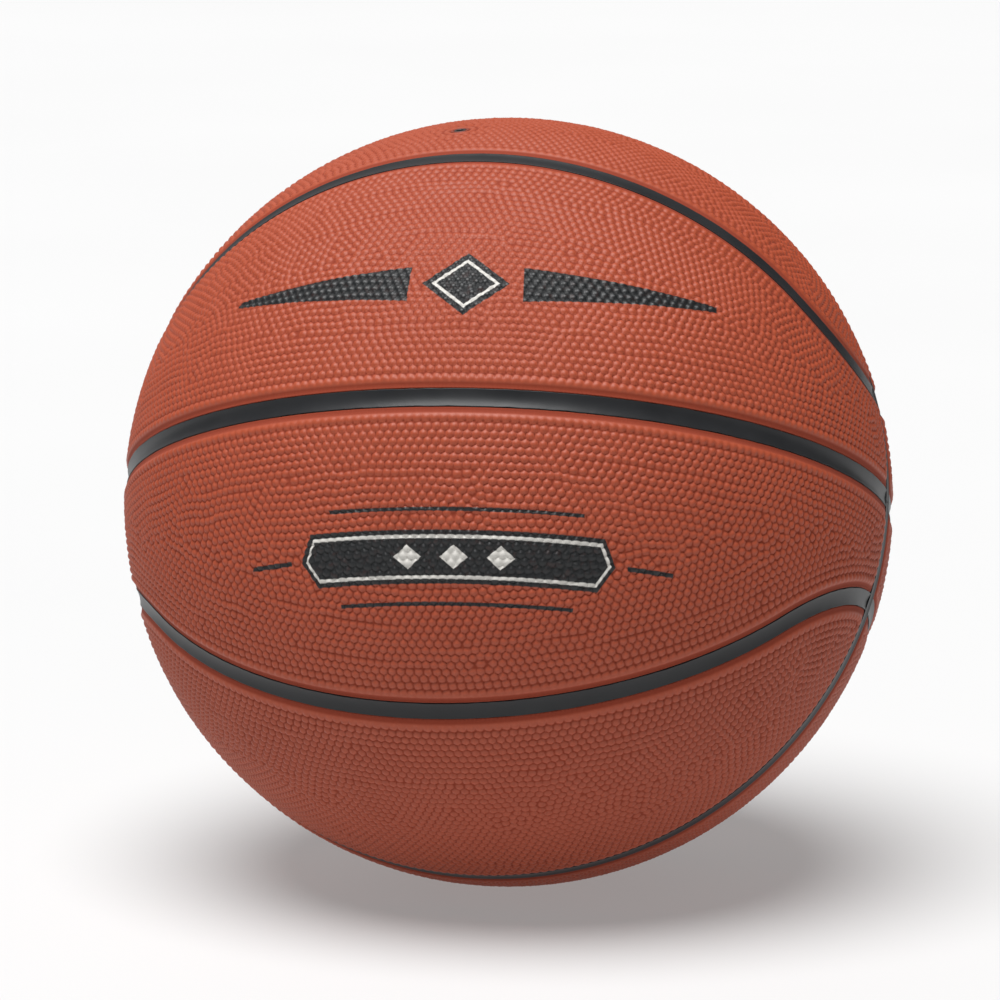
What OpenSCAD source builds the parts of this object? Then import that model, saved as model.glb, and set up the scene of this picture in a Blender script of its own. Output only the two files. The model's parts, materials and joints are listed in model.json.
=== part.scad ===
// A full size basketball of the wound kind, taken apart into its layers.
// From the inside out it has an air bladder with its valve, a layer of wound thread,
// a thin rubber carcass, and a cover of eight pebbled panels with black strips
// lying deep in the channels between them.

/* [Ball] */
// Diameter over the tops of the pebbles
ball_d = 240; // [236:0.5:246]

/* [Layers] */
// Thickness of a cover panel
panel_t = 2.0; // [1.8:0.1:2.6]
// Thickness of the rubber carcass under the panels
carcass_t = 0.5; // [0.4:0.1:1.2]
// Thickness of the layer of wound thread
winding_t = 0.4; // [0.3:0.1:0.8]
// Thickness of the bladder's wall
bladder_t = 0.5; // [0.4:0.1:1.2]
// Thickness of the cement film between two pieces
film = 0.05; // [0.02:0.01:0.1]

/* [Channels] */
// Width of a black channel strip
strip_w = 5.4; // [4:0.2:7]
// Thickness of a black channel strip
strip_t = 0.6; // [0.4:0.1:0.9]
// Width of the rounded shoulder along a panel's edge
shoulder_w = 2.0; // [1:0.1:2.6]
// Depth of the rounded shoulder along a panel's edge
shoulder_h = 1.3; // [0.8:0.1:1.4]

/* [Seams] */
// Angle from the middle of a loop to its long side, seen from the ball's centre
loop_side_angle = 44; // [42:0.5:46]
// Radius of the bend at a loop's end, seen as an angle from the ball's centre
loop_end_angle = 30; // [28:0.5:32]

/* [Valve] */
// Angle of the valve from the middle of the upper loop
valve_lean = 32; // [30:0.5:34]
// Direction of the valve round the middle of the upper loop
valve_turn = -97; // [-100:0.5:-80]
// Diameter of the hole for the inflating needle
needle_d = 2.1; // [2:0.05:2.4]
// Diameter of the valve plug
plug_d = 3.9; // [3.6:0.1:4.2]
// Length of the valve plug
plug_l = 14; // [12:0.5:18]
// Running gap round the valve plug
plug_gap = 0.05; // [0.02:0.01:0.08]
// Diameter of the valve housing's neck, as it shows in the cover
neck_d = 5.8; // [5.4:0.1:6.4]
// Diameter of the valve housing's stem inside the bladder
stem_d = 8; // [7:0.5:10]
// Diameter of the flange that joins the housing to the bladder
flange_d = 24; // [20:1:28]
// Thickness of that flange
flange_t = 0.8; // [0.6:0.1:1.2]
// Diameter of the patch that backs the bladder round the valve
patch_d = 36; // [32:1:44]
// Thickness of that patch
patch_t = 0.6; // [0.4:0.1:1]
// Depth of the valve below the tops of the pebbles
valve_recess = 0.5; // [0.3:0.1:1]
// Length of the housing's stem below the end of the plug
stem_floor = 1.5; // [1:0.5:3]
// Width of the bevels round the needle's hole and the plug's end
bevel = 0.4; // [0.2:0.1:0.5]

/* [Place] */
// Turn of the seams about X, as the ball lies in the photograph
seams_about_x = -24.7; // [-45:0.1:0]
// Turn of the seams about Y
seams_about_y = -2.2; // [-20:0.1:20]
// Turn of the seams about Z
seams_about_z = -12; // [-45:0.1:45]

/* [Hidden] */

rubber = [0.66, 0.27, 0.16];
black_rubber = [0.13, 0.13, 0.14];
inner_rubber = [0.20, 0.19, 0.19];
thread = [0.86, 0.83, 0.74];
carcass_rubber = [0.34, 0.30, 0.27];

$fn = 96;
// Cuts run past what they cut by this much
overrun = 3;
// The cuts for a loop's side and ends overlap by this much
lap = 1;
// The cuts for a loop's ends are wider by this much
hair = 0.03;
// A round shoulder is drawn with this many flats
shoulder_flats = 2;

// Radii of the layers, from the cover inwards
cover_r = ball_d / 2;
cover_in_r = cover_r - panel_t;
carcass_r = cover_in_r - film;
carcass_in_r = carcass_r - carcass_t;
winding_r = carcass_in_r - film;
winding_in_r = winding_r - winding_t;
bladder_r = winding_in_r - film;
bladder_in_r = bladder_r - bladder_t;
patch_r = bladder_in_r - film;
patch_in_r = patch_r - patch_t;
flange_r = patch_in_r - film;
flange_in_r = flange_r - flange_t;

strip_top_r = cover_in_r + strip_t;
gap_half = strip_w / 2 + film;

// The long side of a loop is part of a great circle and its end a smaller circle, which
// meet in one direction. The two circles' axes and the meeting point follow from that.
side_pole = 90 - loop_side_angle;
end_pole = acos(sin(loop_end_angle) / cos(side_pole));
end_half = atan(tan(side_pole) / sin(end_pole));
side_half = atan(tan(end_pole) / sin(side_pole));

// Heights along the valve's axis, from the ball's centre
valve_top = cover_r - valve_recess;
plug_end = valve_top - plug_l;
stem_end = plug_end - stem_floor;
plug_hole_r = plug_d / 2 + plug_gap;
neck_hole_r = neck_d / 2 + film;

// The angle at the centre that a length across a seam takes up
function across(w) = w / cover_r * 180 / PI;

// A point of a seam's cross section, where the seam leans this much from the ring's axis.
// It is this far from the ball's centre and this far to one side of the seam's middle.
function seam_point(r, w, lean) =
    let (up = sqrt(r * r - w * w))
    [up * sin(lean) + w * cos(lean), up * cos(lean) - w * sin(lean)];

// One side of a channel's cross section, from its foot up to its mouth. It is wider by
// this much.
function channel_side(wider) = concat(
    [[cover_in_r - overrun, gap_half + wider]],
    [for (i = [0 : shoulder_flats])
        let (a = 90 * i / (shoulder_flats + 1))
        [cover_r - shoulder_h * (1 - sin(a)), gap_half + wider + shoulder_w * (1 - cos(a))]],
    [for (r = [cover_r + film, cover_r + overrun]) [r, gap_half + wider + shoulder_w]]
);

// Both sides of a cross section from one of them
function mirrored(side) = concat(
    side,
    [for (i = [len(side) - 1 : -1 : 0]) [side[i][0], -side[i][1]]]
);

function channel_section(wider = 0) = mirrored(channel_side(wider));

// The same channel with upright sides, as wide as its foot
function gap_section() = mirrored([for (r = [cover_in_r - overrun, cover_r + overrun]) [r, gap_half]]);

// A black strip's cross section
function strip_section() = mirrored([[cover_in_r + film, strip_w / 2], [strip_top_r, strip_w / 2]]);

// The seams' own directions, turned to how the ball lies
module lie() {
    rotate([seams_about_x, seams_about_y, seams_about_z]) children();
}

// Z along the valve's axis, out of the ball
module at_valve() {
    rotate([0, valve_lean, valve_turn]) children();
}

// The angle that a length takes up along a ring that leans this much from its axis
function along(w, lean) = across(w) / sin(lean);

// Part of a ring round Z that has this section and leans this much from Z
module ring(section, lean, from, to) {
    points = [for (p = section) seam_point(p[0], p[1], lean)];
    rotate([0, 0, from]) rotate_extrude(angle = to - from) polygon(points);
}

// The level seam round the middle of the ball
module middle_seam(section) {
    ring(section, 90, 0, 360);
}

// The upright seam that crosses it
module cross_seam(section) {
    rotate([90, 0, 0]) ring(section, 90, 0, 360);
}

// The long side of the upper loop, at the front, longer at each end by this much
module loop_side(section, more) {
    half = side_half + along(more, 90);
    rotate([-side_pole, 0, 0]) ring(section, 90, -90 - half, half - 90);
}

// The front half of the bend at the right end of the upper loop
module loop_end(section, more) {
    half = end_half + along(more, loop_end_angle);
    rotate([0, end_pole, 0]) ring(section, loop_end_angle, -half, along(film, loop_end_angle));
}

// Everything on the front half, where Y is below zero
module front_half() {
    translate([-2 * cover_r, -4 * cover_r, -2 * cover_r]) cube(4 * cover_r);
}

// Everything on the upper half, where Z is above zero
module upper_half() {
    translate([-2 * cover_r, -2 * cover_r, 0]) cube(4 * cover_r);
}

// A hollow ball
module shell(outer_r, inner_r) {
    difference() {
        sphere(outer_r);
        sphere(inner_r);
    }
}

// A cone from the ball's centre round the bend at one end of a loop
module end_cone() {
    reach = cover_r + overrun;
    rotate([0, end_pole, 0]) cylinder(h = reach, r1 = 0, r2 = reach * tan(loop_end_angle));
}

// What lies inside the upper loop. Its edge runs near the middle of the channel, and its
// straight part is a quarter of a strip narrower, so that it meets the end cones at an angle.
module inside_upper_loop() {
    tip = cover_r * sin(side_half);
    narrow = across(strip_w / 4);
    side = 4 * cover_r;
    intersection() {
        translate([-tip, -side / 2, 0]) cube([2 * tip, side, side]);
        rotate([-side_pole - narrow, 0, 0]) translate([-side / 2, -side / 2, 0]) cube(side);
        rotate([side_pole + narrow, 0, 0]) translate([-side / 2, -side / 2, 0]) cube(side);
    }
    end_cone();
    mirror([1, 0, 0]) end_cone();
}

// One upper quarter of the cover, cut along its loop. The cuts overlap where a side
// meets an end, and those at the ends are wider by a hair, so no two faces coincide.
module looped_quarter() {
    difference() {
        difference() {
            intersection() {
                shell(cover_r, cover_in_r);
                front_half();
                upper_half();
            }
            loop_end(channel_section(hair), lap);
            mirror([1, 0, 0]) loop_end(channel_section(hair), lap);
        }
        loop_side(channel_section(), lap);
    }
}

// A ball whose surface slopes through the cover's, as the shoulder beside the cross seam
module cross_shoulder() {
    edge = gap_half + shoulder_w;
    shift = cover_r * shoulder_h / shoulder_w;
    reach = cover_r * cover_r - edge * edge + (shift - edge) * (shift - edge);
    translate([0, -shift, 0]) sphere(sqrt(reach));
}

// The cover over one upper quarter of the ball, with every channel cut away
module upper_front_quarter() {
    intersection() {
        difference() {
            looped_quarter();
            cross_seam(gap_section());
            middle_seam(channel_section());
        }
        cross_shoulder();
    }
}

// The piece of that quarter inside the loop
module inner_panel() {
    color(rubber) intersection() {
        upper_front_quarter();
        inside_upper_loop();
    }
}

// The piece of that quarter between the loop and the middle seam
module outer_panel() {
    color(rubber) difference() {
        upper_front_quarter();
        inside_upper_loop();
    }
}

// The inner panel that has the hole for the valve
module valve_panel() {
    color(rubber) difference() {
        inner_panel();
        valve_hole(neck_hole_r);
    }
}

// The strip along the front half of the middle seam
module middle_strip() {
    color(black_rubber) difference() {
        ring(strip_section(), 90, 180, 360);
        cross_seam(channel_section());
    }
}

// The strip along the upper half of the cross seam
module cross_strip() {
    color(black_rubber) rotate([90, 0, 0]) ring(strip_section(), 90, 0, 180);
}

// The strip along the front half of the upper loop, in three lengths that butt
module loop_strip() {
    color(black_rubber) loop_side(strip_section(), -film / 2);
    color(black_rubber) loop_end_strip();
    color(black_rubber) mirror([1, 0, 0]) loop_end_strip();
}

// The length of that strip round the front half of the right bend
module loop_end_strip() {
    difference() {
        loop_end(strip_section(), -film / 2);
        cross_seam(channel_section());
    }
}

// The hole through the wall where the valve's neck passes
module valve_hole(r) {
    at_valve() translate([0, 0, cover_r / 2]) cylinder(h = cover_r, r = r);
}

// Thin rubber between the thread and the panels
module carcass() {
    color(carcass_rubber) difference() {
        shell(carcass_r, carcass_in_r);
        valve_hole(neck_hole_r);
    }
}

// Thread wound all over the bladder, as one even layer
module thread_winding() {
    color(thread) difference() {
        shell(winding_r, winding_in_r);
        valve_hole(neck_hole_r);
    }
}

// The airtight bag
module bladder() {
    color(inner_rubber) difference() {
        shell(bladder_r, bladder_in_r);
        valve_hole(neck_hole_r);
    }
}

// A disc that follows the inside of the bladder
module disc(outer_r, inner_r, d) {
    intersection() {
        shell(outer_r, inner_r);
        cylinder(h = cover_r, d = d);
    }
}

// A second layer inside the bladder, round the valve
module bladder_patch() {
    color(inner_rubber) difference() {
        at_valve() disc(patch_r, patch_in_r, patch_d);
        valve_hole(neck_hole_r);
    }
}

// The rubber body that holds the plug: a neck up through the layers, a flange under the
// patch and a stem into the air space
module valve_housing() {
    seat = flange_in_r + flange_t / 2;
    color(black_rubber) at_valve() difference() {
        union() {
            translate([0, 0, stem_end]) cylinder(h = seat - stem_end, d = stem_d);
            translate([0, 0, seat]) cylinder(h = valve_top - seat, d = neck_d);
            disc(flange_r, flange_in_r, flange_d);
        }
        translate([0, 0, stem_end - overrun]) cylinder(h = ball_d, r = plug_hole_r);
    }
}

// The soft plug that the needle goes through
module valve_plug() {
    color(rubber) at_valve() translate([0, 0, plug_end]) difference() {
        rotate_extrude() polygon([
            [0, 0], [plug_d / 2 - bevel, 0], [plug_d / 2, bevel],
            [plug_d / 2, plug_l], [0, plug_l]
        ]);
        translate([0, 0, -overrun]) cylinder(h = plug_l + 2 * overrun, d = needle_d);
        translate([0, 0, plug_l - bevel]) cylinder(h = bevel, d1 = needle_d, d2 = needle_d + 2 * bevel);
    }
}

lie() bladder();
lie() bladder_patch();
lie() valve_housing();
lie() valve_plug();
lie() thread_winding();
lie() carcass();
lie() cross_strip();  // channel_cross_upper
lie() mirror([0, 0, 1]) cross_strip();  // channel_cross_lower
lie() middle_strip();  // channel_middle_front
lie() mirror([0, 1, 0]) middle_strip();  // channel_middle_back
lie() loop_strip();  // channel_loop_upper_front
lie() mirror([0, 1, 0]) loop_strip();  // channel_loop_upper_back
lie() mirror([0, 0, 1]) loop_strip();  // channel_loop_lower_front
lie() rotate([180, 0, 0]) loop_strip();  // channel_loop_lower_back
lie() valve_panel();  // panel_upper_front_inner
lie() outer_panel();  // panel_upper_front_outer
lie() mirror([0, 1, 0]) inner_panel();  // panel_upper_back_inner
lie() mirror([0, 1, 0]) outer_panel();  // panel_upper_back_outer
lie() mirror([0, 0, 1]) inner_panel();  // panel_lower_front_inner
lie() mirror([0, 0, 1]) outer_panel();  // panel_lower_front_outer
lie() rotate([180, 0, 0]) inner_panel();  // panel_lower_back_inner
lie() rotate([180, 0, 0]) outer_panel();  // panel_lower_back_outer
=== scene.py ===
# %% [markdown]
# # A wound rubber basketball
#
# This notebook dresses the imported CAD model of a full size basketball. The CAD solids say
# where everything is. What follows gives them the look of the real ball: thousands of
# moulded pebbles, rounded shoulders beside deep black channels, and a valve.
#
# Everything is in metres, with Z up and the ball's centre at the origin.

# %% Load the frame
import json
from math import acos, cos, degrees, pi, radians, sin, sqrt, tanh

import bpy
import numpy as np
from mathutils import Matrix, Vector
from mathutils.geometry import delaunay_2d_cdt
from mathutils.kdtree import KDTree


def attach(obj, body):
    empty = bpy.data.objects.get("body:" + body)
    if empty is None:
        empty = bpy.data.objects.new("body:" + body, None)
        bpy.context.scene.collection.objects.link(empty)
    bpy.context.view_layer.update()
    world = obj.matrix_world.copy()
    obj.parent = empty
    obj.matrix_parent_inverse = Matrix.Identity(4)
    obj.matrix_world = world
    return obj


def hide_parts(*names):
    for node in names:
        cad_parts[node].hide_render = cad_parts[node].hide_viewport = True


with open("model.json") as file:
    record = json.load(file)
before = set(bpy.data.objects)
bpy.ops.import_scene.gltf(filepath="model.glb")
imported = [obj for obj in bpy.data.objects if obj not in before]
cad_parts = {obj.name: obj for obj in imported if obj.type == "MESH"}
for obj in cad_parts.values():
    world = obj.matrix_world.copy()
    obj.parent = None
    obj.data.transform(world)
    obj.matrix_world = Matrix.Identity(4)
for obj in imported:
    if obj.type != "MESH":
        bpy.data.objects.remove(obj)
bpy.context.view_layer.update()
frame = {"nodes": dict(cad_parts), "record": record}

MM = 0.001

# %% [markdown]
# ## The camera
#
# The photograph was taken from far away with a long lens, so the ball shows almost half of
# its surface. The camera looks down by ten degrees from fourteen radii away. It comes first,
# because it decides which details are worth making.

# %% Camera
BALL_R = 120 * MM
CAMERA_LIFT = radians(10)
CAMERA_TURN = radians(-0.85)
CAMERA_DISTANCE = 14 * BALL_R

camera_data = bpy.data.cameras.new("camera")
camera_data.sensor_width = 36
camera_data.lens = 193.5
camera_data.shift_x = -0.0086
camera_data.shift_y = 0.0021
camera_data.clip_start, camera_data.clip_end = 0.1, 100
camera = bpy.data.objects.new("camera", camera_data)
camera.location = CAMERA_DISTANCE * Vector((cos(CAMERA_LIFT) * sin(CAMERA_TURN),
                                            -cos(CAMERA_LIFT) * cos(CAMERA_TURN),
                                            sin(CAMERA_LIFT)))
camera.rotation_euler = (pi / 2 - CAMERA_LIFT, 0, CAMERA_TURN)
bpy.context.scene.collection.objects.link(camera)
bpy.context.scene.camera = camera
print("camera at", [round(c, 3) for c in camera.location])

# %% [markdown]
# ## The seams as sums
#
# The eight panels are cut by three kinds of seam. Two are great circles, which cross at
# the left and right of the ball. The third is a long loop, once above and once below, with
# straight sides and round ends. A panel's mesh needs to know, at any point of the ball,
# how far away its nearest channel is. These few functions say so.
#
# They work in the seams' own directions: X to the crossing at the right, Y away from the
# viewer and Z up through the middle of the upper loop. LIE turns those to how the ball
# lies in the photograph.

# %% Directions of the seams
ABOUT_X, ABOUT_Y, ABOUT_Z = radians(-24.7), radians(-2.2), radians(-12)
LIE = (Matrix.Rotation(ABOUT_Z, 3, "Z") @ Matrix.Rotation(ABOUT_Y, 3, "Y")
       @ Matrix.Rotation(ABOUT_X, 3, "X"))
TO_BALL = np.array(LIE)

LOOP_SIDE = radians(44)
LOOP_END = radians(30)
SIDE_POLE = pi / 2 - LOOP_SIDE
END_POLE = acos(sin(LOOP_END) / cos(SIDE_POLE))

end_axis = np.array([sin(END_POLE), 0, cos(END_POLE)])
side_axis = np.array([0, -sin(SIDE_POLE), cos(SIDE_POLE)])
between = np.cross(side_axis, end_axis)


def angle_to(directions, axis):
    return np.arccos(np.clip(directions @ axis, -1, 1))


def by_loop_end(directions):
    """Whether the nearest part of the loop is one of its round ends."""
    return (np.abs(directions) @ between) * between[0] > 0


def outside_loop(directions):
    """Angle from the upper loop to each direction, above zero outside it."""
    folded = np.abs(directions)
    return np.where(by_loop_end(directions), angle_to(folded, end_axis) - LOOP_END,
                    angle_to(folded, side_axis) - pi / 2)


print("a loop's end bends round", round(degrees(END_POLE), 1), "degrees from its middle")

# %% [markdown]
# ## How far is the channel
#
# The distance to a panel's edge is the smallest of its distances to the seams that bound
# it, less half a channel. A smooth minimum rounds the corners, as a mould does.

# %% Distance to a panel's edge
CHANNEL_HALF = 2.9 * MM
CORNER = 2 * MM


def smooth_least(a, b, width):
    overlap = np.maximum(width - np.abs(a - b), 0) / width
    return np.minimum(a, b) - overlap ** 2 * width / 4


def edge_distance(kind, directions):
    """Distance to the edge of the upper front panel of this kind, on the ball's surface."""
    loop = outside_loop(directions) * BALL_R
    cross = np.arcsin(np.clip(-directions[:, 1], -1, 1)) * BALL_R
    middle = np.arcsin(np.clip(directions[:, 2], -1, 1)) * BALL_R
    if kind == "inner":
        nearest = np.minimum(smooth_least(-loop, cross, CORNER), middle)
    else:
        nearest = smooth_least(smooth_least(loop, cross, CORNER), middle, CORNER)
    return nearest - CHANNEL_HALF


outer_middle = np.array([[0, -cos(LOOP_SIDE / 2), sin(LOOP_SIDE / 2)]])
print("the middle of an outer panel is",
      round(float(edge_distance("outer", outer_middle)[0]) / MM, 1), "mm from its edge")

# %% [markdown]
# ## A flat map of a panel
#
# Triangles are easiest to lay out on a flat map. A stereographic map, seen from the far
# side of the ball, keeps circles round, so the best triangles on the map are also the best
# ones on the ball.

# %% Map
VIEWPOINT = {"inner": radians(68), "outer": radians(5)}
SAME_POINT = 1e-8


def map_axes(kind):
    lift = VIEWPOINT[kind]
    out = np.array([0, -cos(lift), sin(lift)])
    right = np.array([1.0, 0, 0])
    return right, np.cross(out, right), out


def to_map(kind, directions):
    right, up, out = map_axes(kind)
    return np.stack([directions @ right, directions @ up], 1) / (1 + directions @ out)[:, None]


def from_map(kind, points):
    right, up, out = map_axes(kind)
    square = (points ** 2).sum(1)[:, None]
    flat = points[:, :1] * right + points[:, 1:] * up
    return (2 * flat + (1 - square) * out) / (1 + square)


def triangles(flat, edges=()):
    """Triangles that join points on the map, with the points that they join."""
    found = delaunay_2d_cdt([tuple(p) for p in flat], list(edges), [], 0, SAME_POINT)
    return np.array([tuple(p) for p in found[0]]), np.array(found[2])


print("the panels are mapped from", {kind: round(degrees(lift)) for kind, lift in
                                     VIEWPOINT.items()}, "degrees up")

# %% [markdown]
# ## Lines that run along the edge
#
# The shoulder, and the first rows of pebbles, follow the edge at even distances. Each such
# line is found by looking out from the middle of the panel in every direction, halving
# the step until the distance to the edge is the wanted one.

# %% Level lines
LOOKS = 12000
LOOK_REACH = 1.5
HALVINGS = 40


def level_line(kind, distance, spacing):
    """Evenly spaced directions at this distance from the panel's edge, as a closed loop."""
    turn = np.linspace(0, 2 * pi, LOOKS, endpoint=False)
    rays = np.stack([np.cos(turn), np.sin(turn)], 1)
    near, far = np.zeros(LOOKS), np.full(LOOKS, LOOK_REACH)
    for _ in range(HALVINGS):
        middle = (near + far) / 2
        inside = edge_distance(kind, from_map(kind, rays * middle[:, None])) > distance
        near, far = np.where(inside, middle, near), np.where(inside, far, middle)
    loop = from_map(kind, rays * near[:, None])
    closed = np.vstack([loop, loop[:1]])
    steps = np.linalg.norm(np.diff(closed, axis=0), axis=1) * BALL_R
    along = np.concatenate([[0], np.cumsum(steps)])
    count = round(along[-1] / spacing)
    places = np.arange(count) * along[-1] / count
    even = np.stack([np.interp(places, along, closed[:, i]) for i in range(3)], 1)
    return even / np.linalg.norm(even, axis=1)[:, None]


def even_directions(spacing):
    """Directions spread evenly over the whole ball, on one long spiral."""
    count = int(4 * pi * BALL_R ** 2 / (spacing ** 2 * sqrt(3) / 2))
    index = np.arange(count) + 0.5
    height = 1 - 2 * index / count
    turn = index * pi * (1 + sqrt(5))
    wide = np.sqrt(1 - height ** 2)
    return np.stack([wide * np.cos(turn), wide * np.sin(turn), height], 1)


def circle_round(axis, lean, turns):
    """Directions at this lean from an axis, for an array of turns round it."""
    side = np.cross(axis, np.roll(axis, 1) + [0, 0, 0.1])
    side /= np.linalg.norm(side)
    turns = np.asarray(turns)[:, None]
    return cos(lean) * axis + sin(lean) * (np.cos(turns) * side
                                           + np.sin(turns) * np.cross(axis, side))


print("an outer panel is", round(len(level_line("outer", 0, MM))), "mm round")

# %% [markdown]
# ## Room for the valve
#
# The valve comes through the upper front panel that lies inside the loop. Round it the sheet
# has no pebbles but a smooth, slightly raised ring, with a hole for the valve's neck. The
# first pebbles outside the ring stand in a circle of their own.

# %% The valve's place
VALVE_LEAN = radians(32)
VALVE_TURN = radians(-97)
valve_axis = np.array([sin(VALVE_LEAN) * cos(VALVE_TURN), sin(VALVE_LEAN) * sin(VALVE_TURN),
                       cos(VALVE_LEAN)])
NECK_HOLE_R = 3.0 * MM
RING_R = 4.2 * MM
RING_W = 1.1 * MM
RING_H = 0.45 * MM
RING_LINES = (-1, -0.7, -0.35, 0, 0.35, 0.7, 1)
VALVE_ROW = 6.7 * MM
VALVE_SIDES = 64


def valve_distance(directions):
    return angle_to(directions, valve_axis) * BALL_R


def ring_height(distance):
    return RING_H * np.clip(1 - ((distance - RING_R) / RING_W) ** 2, 0, 1)


def ring_points(distance, count=VALVE_SIDES):
    """Directions on a circle round the valve."""
    return circle_round(valve_axis, distance / BALL_R, np.arange(count) * 2 * pi / count)


print("the valve's ring is", round(2 * (RING_R + RING_W) / MM, 1), "mm across")

# %% [markdown]
# ## Where the pebbles sit
#
# On the real ball, the pebbles follow the seams in rows, brick fashion. A panel could be
# covered with a plain grid, but then no row would run along its edge. So each row starts as
# a circle that runs beside its seam. The first two rows follow the very edge and stay put.

# %% Rows beside the seams
PITCH = 2.64 * MM
ROW = 2.3 * MM
FIRST_ROW = 3.3 * MM
SECOND_ROW = FIRST_ROW + 2.5 * MM
ROW_SLACK = 0.5 * MM
MOST_ROWS = 40

front_side_axis = side_axis * [1, -1, 1]
LOOP_PARTS = [(front_side_axis, pi / 2, False), (end_axis, LOOP_END, True),
              (end_axis * [-1, 1, 1], LOOP_END, True)]


def seam_rows(kind):
    """Rows beside the seams of the upper front panel of this kind, past the first two."""
    outwards = 1 if kind == "outer" else -1
    seams = [(axis, lean, outwards, at_end) for axis, lean, at_end in LOOP_PARTS]
    seams.append((np.array([0, -1.0, 0]), pi / 2, -1, None))
    if kind == "outer":
        seams.append((np.array([0, 0, 1.0]), pi / 2, -1, None))
    rows = []
    for axis, seam_lean, side, at_end in seams:
        for number in range(1, MOST_ROWS):
            distance = SECOND_ROW + number * ROW
            lean = seam_lean + side * (CHANNEL_HALF + distance) / BALL_R
            if 0 < lean < pi:
                count = round(2 * pi * sin(lean) * BALL_R / PITCH)
                turns = (np.arange(count) + number % 2 / 2) * 2 * pi / count
                row = circle_round(axis, lean, turns)
                keep = edge_distance(kind, row) > distance - ROW_SLACK
                if at_end is not None:
                    keep &= by_loop_end(row) == at_end
                rows.append(row[keep])
    return np.vstack(rows)


print("an inner panel starts with", len(seam_rows("inner")), "places in rows")

# %% [markdown]
# Far from a seam the rows grow wavy, and where the rows of two seams meet there are small
# faults. So a few long waves push the pebbles about, and then every pebble pushes its
# neighbours away until all have room.

# %% Waves and room
WAVES = 8
WAVE_H = 1.6 * MM
WAVE_TURNS = 22
NEIGHBOURS = 6
ROOM = 1.04 * PITCH
PUSH = 0.3


def waves(points, seed):
    """Long soft waves in the rows."""
    pick = np.random.default_rng(seed)
    push = np.zeros_like(points)
    for _ in range(WAVES):
        along, away, start = pick.normal(size=3), pick.normal(size=3), pick.uniform(0, 2 * pi)
        push += away * np.sin(points @ along * WAVE_TURNS + start)[:, None]
    return push * WAVE_H / BALL_R / (WAVES / 2)


def neighbours(points, count):
    tree = KDTree(len(points))
    for i, point in enumerate(points):
        tree.insert(point, i)
    tree.balance()
    return np.array([[found[1] for found in tree.find_n(point, count + 1)[1:]]
                     for point in points])


def make_room(points, fixed, rounds):
    """Lets pebbles that are too near push each other away, except the first fixed ones."""
    for turn in range(rounds):
        if turn % 4 == 0:
            near = neighbours(points, NEIGHBOURS)
        gap = points[:, None] - points[near]
        length = np.linalg.norm(gap, axis=2, keepdims=True)
        push = gap / length * np.clip(ROOM / BALL_R - length, 0, None)
        points[fixed:] += PUSH * push.sum(1)[fixed:]
        points /= np.linalg.norm(points, axis=1)[:, None]
    return points


print("pebbles nearer than", round(ROOM / MM, 2), "mm push each other away")

# %% [markdown]
# Where three pebbles leave a hole that is large enough, it gets a pebble too. The middle of
# such a hole is as far from all three, so it lies straight above the triangle they form.

# %% Holes between pebbles
HOLE = 0.78 * PITCH


def holes(kind, points):
    """Middles of the holes between pebbles that are wide enough for one more."""
    flat, faces = triangles(to_map(kind, points))
    corners = from_map(kind, flat)[faces]
    across = np.cross(corners[:, 1] - corners[:, 0], corners[:, 2] - corners[:, 0])
    middles = across / np.linalg.norm(across, axis=1)[:, None]
    middles *= np.sign((middles * corners[:, 0]).sum(1))[:, None]
    room = np.linalg.norm(middles - corners[:, 0], axis=1) * BALL_R
    wide = (room > HOLE) & (edge_distance(kind, middles) > SECOND_ROW)
    found = np.zeros((0, 3))
    for middle in middles[wide][np.argsort(-room[wide])]:
        if not len(found) or np.linalg.norm(found - middle, axis=1).min() * BALL_R > HOLE:
            found = np.vstack([found, middle])
    return found


print("a hole wider than", round(HOLE / MM, 2), "mm from its middle gets a pebble")

# %% Places of the pebbles
LOOSENESS = 0.1 * PITCH
FADE = 20 * MM
ROUNDS = 24
FILLINGS = 3


def pebble_places(kind, with_valve):
    fixed = np.vstack([level_line(kind, d, PITCH) for d in (FIRST_ROW, SECOND_ROW)])
    free = seam_rows(kind)
    if with_valve:
        fixed = np.vstack([fixed, ring_points(VALVE_ROW, round(2 * pi * VALVE_ROW / PITCH))])
        free = free[valve_distance(free) > VALVE_ROW + 0.7 * PITCH]
    share = np.clip(edge_distance(kind, free) / FADE, 0, 1)[:, None]
    loose = np.random.default_rng(9).normal(size=free.shape) * LOOSENESS / BALL_R
    points = np.vstack([fixed, free + (waves(free, 5) + loose) * share])
    points = make_room(points, len(fixed), ROUNDS)
    for _ in range(FILLINGS):
        extra = holes(kind, points)
        if with_valve:
            extra = extra[valve_distance(extra) > VALVE_ROW]
        points = make_room(np.vstack([points, extra]), len(fixed), ROUNDS // 2)
    return points


KINDS = (("inner", False), ("outer", False), ("inner", True))
places = {kind: pebble_places(*kind) for kind in KINDS}
for (kind, with_valve), found in places.items():
    print(kind, "panel, with valve:", with_valve, ",", len(found), "pebbles")

# %% [markdown]
# ## The panel under the pebbles
#
# A panel is one moulded sheet of rubber, two millimetres thick. Its edges roll down to the
# channels in a smooth shoulder that has no pebbles, and end in a small bead beside the black
# strip, where the mould's two halves met. From the shoulder's crest the sheet sinks a little
# to the ground that the pebbles stand on, so its height follows from the distance to its
# edge alone.

# %% Height of the sheet
PEBBLE_H = 0.8 * MM
GROUND_R = BALL_R - PEBBLE_H
PANEL_IN_R = 118 * MM
LIP_R = 118.95 * MM
CREST_R = 119.62 * MM
LIP_W = 0.5 * MM
SHOULDER_W = 2.1 * MM
CREST_W = 1.4 * MM
BEAD_PLACE = 0.25 * MM
BEAD_W = 0.35 * MM
BEAD_H = 0.12 * MM


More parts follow.
